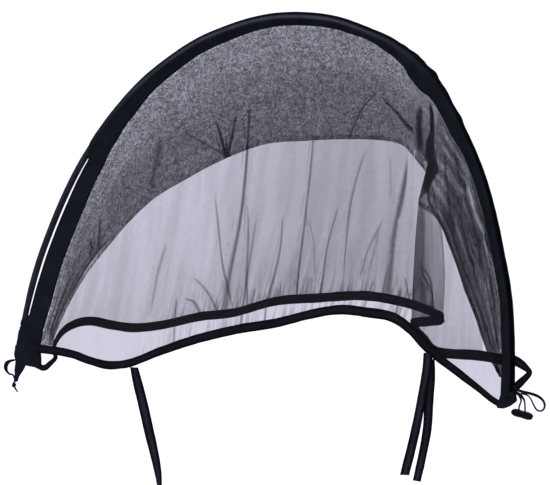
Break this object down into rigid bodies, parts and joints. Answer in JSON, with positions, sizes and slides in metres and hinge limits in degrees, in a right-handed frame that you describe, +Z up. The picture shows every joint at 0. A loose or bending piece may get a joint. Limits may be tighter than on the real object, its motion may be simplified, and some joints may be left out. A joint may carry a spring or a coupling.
{
  "type": "stroller mosquito net with hoop",
  "caption": "Hood-shaped mosquito net hung from a bent rod, with a sheer front net, a darker crown over a sheer back net, bound elastic hems, hanging ties, loops and a cord lock.",
  "frame": {"origin": "midway between the two feet of the hoop, where the stroller's sides hold them", "axes": "+X along the span from the left foot to the right foot, +Y towards the back of the hood, +Z up"},
  "size_m": [0.6717, 0.2343, 0.5549],
  "materials": {
    "rod": "black plastic-covered spring rod, slight sheen",
    "casing_cloth": "smooth navy-black woven polyester",
    "net": "very fine sheer mesh, dark thread",
    "crown_net": "denser dark mesh with a mottled look",
    "binding_tape": "folded woven tape, navy black, matt",
    "elastic": "flat woven elastic, black",
    "elastic_cord": "braided elastic cord, black",
    "lock_plastic": "moulded black plastic"
  },
  "bodies": {
    "root": {"hoop": "rod", "casing": "casing_cloth", "front_net": "net", "front_binding": "binding_tape", "crown_panel": "crown_net", "back_net": "net", "back_binding": "binding_tape", "left_tie": "binding_tape", "right_tie_front": "binding_tape", "right_tie_back": "binding_tape", "left_foot": "casing_cloth", "right_foot": "casing_cloth", "left_loop": "elastic", "right_loop": "elastic", "left_cord": "elastic_cord", "left_knot": "elastic_cord", "left_cord_end": "elastic_cord", "lock_cord_left": "elastic_cord", "lock_cord_right": "elastic_cord", "free_cord": "elastic_cord", "cord_lock": "lock_plastic"}
  },
  "joints": []
}
